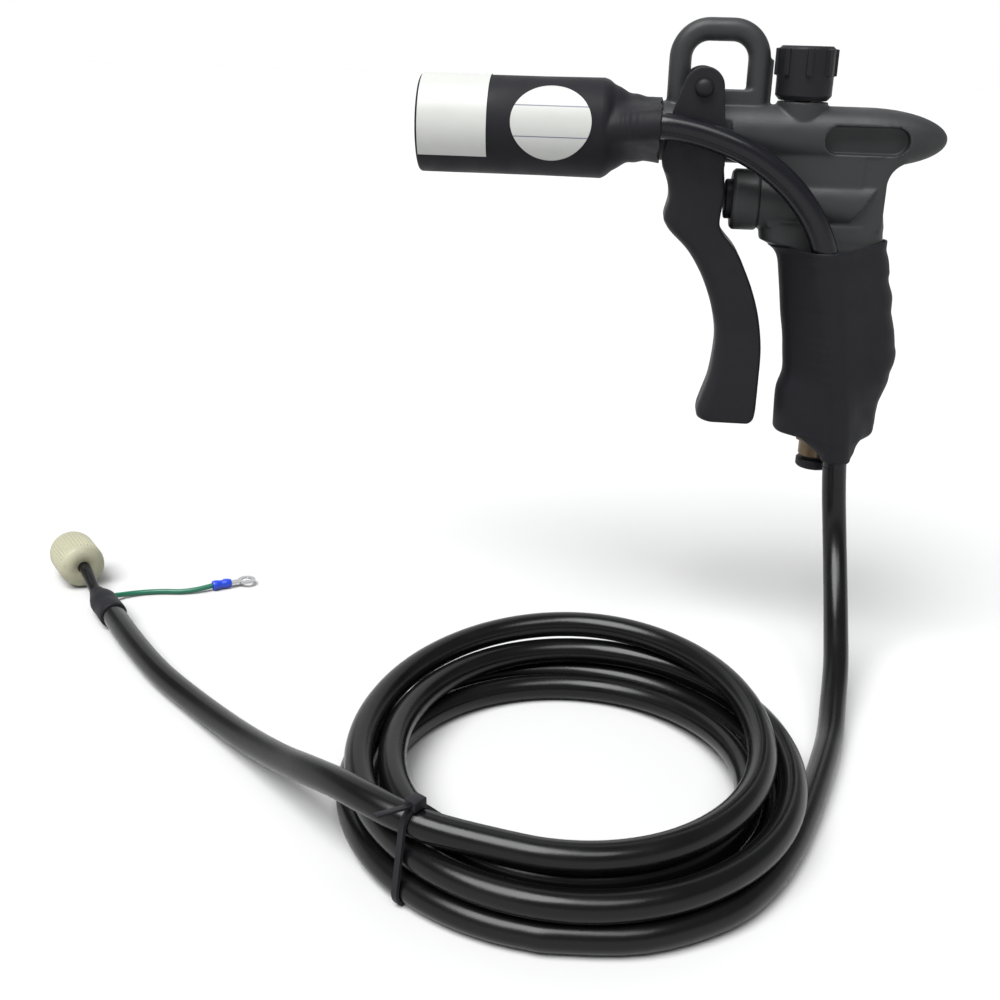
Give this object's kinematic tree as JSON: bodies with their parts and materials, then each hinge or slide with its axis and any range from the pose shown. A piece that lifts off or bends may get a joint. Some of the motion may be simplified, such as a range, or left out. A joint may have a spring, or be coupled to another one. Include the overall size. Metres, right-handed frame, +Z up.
{
  "type": "ionizing air gun",
  "caption": "Handheld ionizing blow gun: moulded body with hanging loop, trigger valve and flow knob, sleeved ionizing nozzle, and a coiled high-voltage cable with coupling nut and earth lead.",
  "frame": {"origin": "inside top of the hanging loop, where the gun hangs on a hook", "axes": "+X along the barrel towards its rounded tail, so the nozzle points to -X; +Z up; the cable runs down the -Y side"},
  "size_m": [0.3895, 0.256, 0.2588],
  "materials": {
    "body_plastic": "fine moulded grain, dark grey-green",
    "black_plastic": "satin black",
    "heat_shrink": "soft satin black shrink tube",
    "cable_jacket": "semi-gloss black jacket",
    "label_white": "plain white film",
    "insulator": "off-white insulator",
    "steel": "plain metal",
    "brass": "dull nickel-tinted brass",
    "seal_rubber": "matt black rubber",
    "nut_beige": "ribbed beige moulding",
    "wire_green": "green insulation",
    "sleeve_blue": "blue crimp sleeve"
  },
  "bodies": {
    "gun": {"gun_body": "body_plastic", "valve_cap": "body_plastic", "nozzle_adapter": "black_plastic", "nozzle_tube": "black_plastic", "needle_holder": "black_plastic", "pivot_pin": "black_plastic", "pin_cap": "black_plastic", "cable_tie": "black_plastic", "nozzle_sleeve": "heat_shrink", "grip_sleeve": "heat_shrink", "cable_boot": "heat_shrink", "needle_lead": "cable_jacket", "cable_upper": "cable_jacket", "cable_drop": "cable_jacket", "cable_coil": "cable_jacket", "cable_tail": "cable_jacket", "inner_lead": "cable_jacket", "wrap_label": "label_white", "round_label": "label_white", "lead_plug": "insulator", "earth_ring": "steel", "emitter_needle": "steel", "valve_spring": "steel", "terminal_ring": "steel", "air_fitting": "brass", "regulator_gland": "brass", "contact_pin": "brass", "stem_o_ring": "seal_rubber", "regulator_o_ring": "seal_rubber", "tube_seal": "seal_rubber", "earth_wire": "wire_green", "terminal_sleeve": "sleeve_blue"},
    "trigger": {"trigger_lever": "black_plastic"},
    "valve_stem": {"valve_stem": "black_plastic", "valve_seal": "seal_rubber"},
    "knob": {"regulator_knob": "black_plastic", "regulator_needle": "brass"},
    "release_ring": {"release_ring": "black_plastic"},
    "coupling_nut": {"coupling_nut": "nut_beige"}
  },
  "joints": [
    {"name": "trigger_pull", "type": "hinge", "parent": "gun", "child": "trigger", "pos_m": [-0.0058, 0, -0.0172], "axis": [0, -1, 0], "range_deg": [0, 3.2], "stiffness_Nm_per_rad": 8, "springref_deg": -5.73},
    {"name": "valve_push", "type": "slide", "parent": "gun", "child": "valve_stem", "axis": [1, 0, 0], "range_m": [0, 0.0025], "deforming": ["valve_spring"]},
    {"name": "knob_turn", "type": "hinge", "parent": "gun", "child": "knob", "pos_m": [0.0336, 0, -0.0102], "axis": [0, 0, 1], "range_deg": [-180, 180]},
    {"name": "ring_press", "type": "slide", "parent": "gun", "child": "release_ring", "axis": [0, 0, 1], "range_m": [0, 0.0011], "stiffness_N_per_m": 400, "springref_m": -0.002},
    {"name": "nut_spin", "type": "hinge", "parent": "gun", "child": "coupling_nut", "pos_m": [-0.27801, -0.00902, -0.2393], "axis": [-0.6157, 0.788, 0], "continuous": true}
  ],
  "couplings": [
    {"joint": "valve_push", "follows": "trigger_pull", "m_per_rad": 0.0429}
  ]
}
